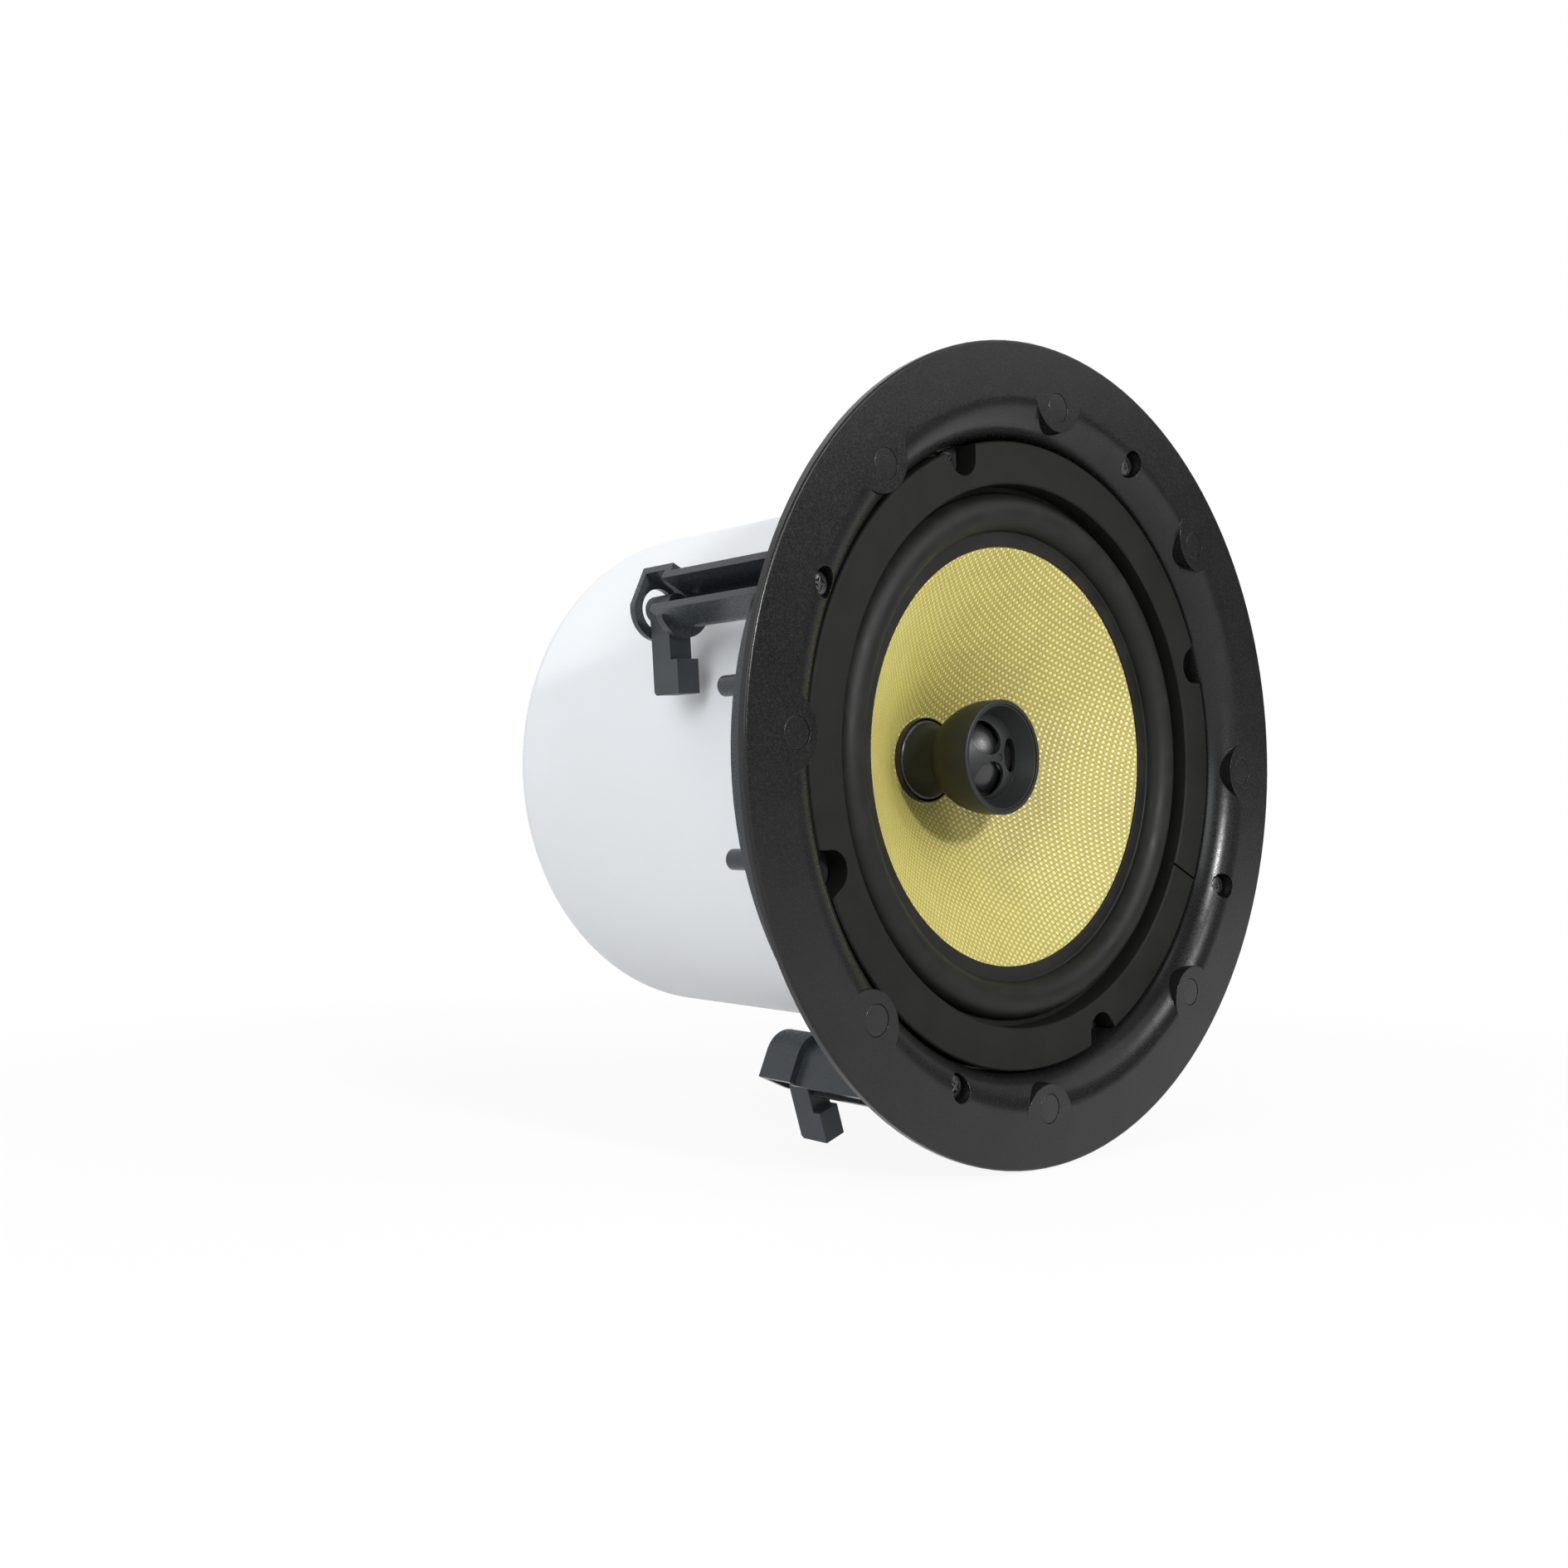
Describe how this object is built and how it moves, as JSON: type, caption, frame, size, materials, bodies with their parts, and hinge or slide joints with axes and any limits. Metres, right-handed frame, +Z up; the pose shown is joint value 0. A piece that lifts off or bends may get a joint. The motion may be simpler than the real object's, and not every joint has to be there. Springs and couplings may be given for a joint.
{
  "type": "ceiling speaker",
  "caption": "Round flush ceiling speaker with a woven cone, a tweeter pod on a post, a black bezel with magnet lobes, swing-out clamp dogs and a pale back can.",
  "frame": {"origin": "centre of the flange, on its rear face, where it seats on the ceiling board", "axes": "+Y into the ceiling along the speaker's axis, +X to the right and +Z up as seen from the front in the picture"},
  "size_m": [0.28, 0.188, 0.28],
  "materials": {
    "bezel_plastic": "fine moulded grain",
    "ring_plastic": "flat matt",
    "pod_plastic": "satin",
    "base_plastic": "polished",
    "clamp_plastic": "moulded",
    "surround_rubber": "soft sheen",
    "seal_rubber": "matt",
    "cone_cloth": "woven and lacquered",
    "spider_cloth": "pressed cloth",
    "dome_cloth": "coated silk",
    "former_metal": "bright",
    "winding": "enamelled wire",
    "basket_paint": "satin",
    "plated_steel": "zinc plated",
    "black_steel": "blackened",
    "magnet_metal": "nickel plated",
    "ferrite": "ground",
    "can_paint": "satin enamel",
    "board_resin": "lacquered",
    "part_plastic": "moulded"
  },
  "bodies": {
    "frame": {"bezel": "bezel_plastic", "woofer_ring": "ring_plastic", "tweeter_pod": "pod_plastic", "tweeter_bridge": "pod_plastic", "tweeter_base": "base_plastic", "surround": "surround_rubber", "can_gasket": "seal_rubber", "cable_grommet": "seal_rubber", "spider": "spider_cloth", "tweeter_dome": "dome_cloth", "crossover_coil": "winding", "woofer_basket": "basket_paint", "top_plate": "plated_steel", "yoke": "plated_steel", "tweeter_motor": "plated_steel", "tweeter_post": "plated_steel", "post_nut": "plated_steel", "woofer_screws": "black_steel", "can_screws": "black_steel", "grille_magnets": "magnet_metal", "woofer_magnet": "ferrite", "back_can": "can_paint", "crossover_board": "board_resin", "crossover_caps": "part_plastic", "terminal_block": "part_plastic"},
    "cone": {"woofer_cone": "cone_cloth", "coil_former": "former_metal", "voice_coil": "winding"},
    "screw_1": {"clamp_screw_1": "black_steel"},
    "dog_1": {"clamp_dog_1": "clamp_plastic"},
    "screw_2": {"clamp_screw_2": "black_steel"},
    "dog_2": {"clamp_dog_2": "clamp_plastic"},
    "screw_3": {"clamp_screw_3": "black_steel"},
    "dog_3": {"clamp_dog_3": "clamp_plastic"},
    "screw_4": {"clamp_screw_4": "black_steel"},
    "dog_4": {"clamp_dog_4": "clamp_plastic"}
  },
  "joints": [
    {"name": "cone_travel", "type": "slide", "parent": "frame", "child": "cone", "axis": [0, 1, 0], "range_m": [-0.004, 0.004], "stiffness_N_per_m": 1500, "deforming": ["surround", "spider"]},
    {"name": "screw_1_turn", "type": "hinge", "parent": "frame", "child": "screw_1", "pos_m": [0.04516, 0.03, 0.10902], "axis": [0, 1, 0], "continuous": true},
    {"name": "dog_1_swing", "type": "hinge", "parent": "frame", "child": "dog_1", "pos_m": [0.04516, 0.073, 0.10902], "axis": [0, -1, 0], "range_deg": [-118, 0]},
    {"name": "screw_2_turn", "type": "hinge", "parent": "frame", "child": "screw_2", "pos_m": [-0.10902, 0.03, 0.04516], "axis": [0, 1, 0], "continuous": true},
    {"name": "dog_2_swing", "type": "hinge", "parent": "frame", "child": "dog_2", "pos_m": [-0.10902, 0.073, 0.04516], "axis": [0, -1, 0], "range_deg": [-118, 0]},
    {"name": "screw_3_turn", "type": "hinge", "parent": "frame", "child": "screw_3", "pos_m": [-0.04516, 0.03, -0.10902], "axis": [0, 1, 0], "continuous": true},
    {"name": "dog_3_swing", "type": "hinge", "parent": "frame", "child": "dog_3", "pos_m": [-0.04516, 0.073, -0.10902], "axis": [0, -1, 0], "range_deg": [-42, 76]},
    {"name": "screw_4_turn", "type": "hinge", "parent": "frame", "child": "screw_4", "pos_m": [0.10902, 0.03, -0.04516], "axis": [0, 1, 0], "continuous": true},
    {"name": "dog_4_swing", "type": "hinge", "parent": "frame", "child": "dog_4", "pos_m": [0.10902, 0.073, -0.04516], "axis": [0, -1, 0], "range_deg": [0, 118]}
  ]
}
